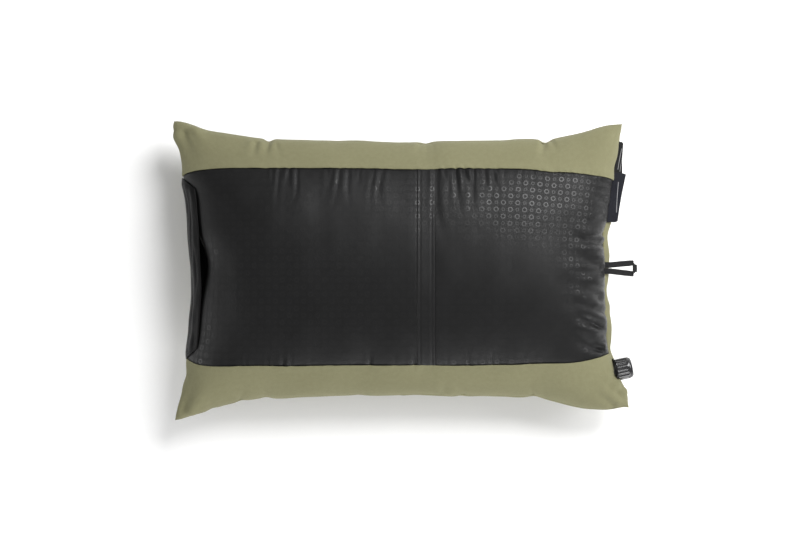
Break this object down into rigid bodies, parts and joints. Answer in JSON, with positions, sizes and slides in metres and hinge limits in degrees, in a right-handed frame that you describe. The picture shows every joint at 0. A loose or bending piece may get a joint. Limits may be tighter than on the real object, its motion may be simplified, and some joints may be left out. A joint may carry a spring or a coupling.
{
  "type": "camp pillow",
  "caption": "Inflatable camp pillow with a fabric cover, a stuff sack with a fold-over flap sewn into its back, a hang loop and a corner twist valve.",
  "frame": {"origin": "on the resting surface, under the middle of the cover", "axes": "+Z out of the back, +X along the length towards the valve and hang loop, +Y along the width away from the valve"},
  "size_m": [0.4446, 0.28, 0.1],
  "materials": {
    "olive_knit": "brushed matte knit",
    "black_woven": "satin woven fabric with a faint tone-on-tone print",
    "webbing": "flat woven webbing",
    "label_tape": "smooth woven label tape",
    "coated_film": "translucent coated film",
    "foam": "open-cell foam",
    "valve_plastic": "moulded, matt",
    "knob_plastic": "moulded, glossy",
    "seal_rubber": "soft seal ring",
    "thread": "sewing thread"
  },
  "bodies": {
    "pillow": {"front_panel": "olive_knit", "back_border_upper": "olive_knit", "back_border_lower": "olive_knit", "back_panel": "black_woven", "sack_outer_panel": "black_woven", "sack_inner_panel": "black_woven", "sack_seam_band": "black_woven", "cover_seam_allowance": "olive_knit", "bladder_back_skin": "coated_film", "bladder_front_skin": "coated_film", "bladder_perimeter_weld": "coated_film", "baffle_web_left": "coated_film", "baffle_web_middle": "coated_film", "baffle_web_right": "coated_film", "foam_topper": "foam", "valve_port_patch": "black_woven", "valve_base": "valve_plastic", "plug_seal": "seal_rubber"},
    "sack_flap": {"sack_flap": "black_woven"},
    "hang_loop": {"hang_loop": "webbing"},
    "side_label": {"side_label": "label_tape"},
    "care_label": {"care_label": "label_tape"},
    "valve_slider": {"knob_seal_ring": "seal_rubber"},
    "valve_knob": {"valve_knob": "knob_plastic"}
  },
  "joints": [
    {"name": "flap_fold", "type": "hinge", "parent": "pillow", "child": "sack_flap", "pos_m": [-0.2045, 0, 0.046], "axis": [0, -1, 0], "range_deg": [0, 150]},
    {"name": "loop_swing", "type": "hinge", "parent": "pillow", "child": "hang_loop", "pos_m": [0.2006, 0, 0.046], "axis": [0, 1, 0], "range_deg": [-60, 60], "stiffness_Nm_per_rad": 0.001},
    {"name": "side_label_bend", "type": "hinge", "parent": "pillow", "child": "side_label", "pos_m": [0.2024, 0.068, 0.046], "axis": [0.0659, 0.9978, 0], "range_deg": [-60, 60], "stiffness_Nm_per_rad": 0.001},
    {"name": "care_label_bend", "type": "hinge", "parent": "pillow", "child": "care_label", "pos_m": [0.20689, 0.107, 0.046], "axis": [0.19, 0.9818, 0], "range_deg": [-60, 60], "stiffness_Nm_per_rad": 0.0005},
    {"name": "valve_travel", "type": "slide", "parent": "pillow", "child": "valve_slider", "axis": [0.9781, 0.2079, 0], "range_m": [0, 0.004]},
    {"name": "knob_turn", "type": "hinge", "parent": "valve_slider", "child": "valve_knob", "pos_m": [0.2043, -0.098, 0.046], "axis": [0.9781, 0.2079, 0], "range_deg": [0, 270]}
  ],
  "couplings": [
    {"joint": "valve_travel", "follows": "knob_turn", "m_per_rad": 0.00084}
  ]
}
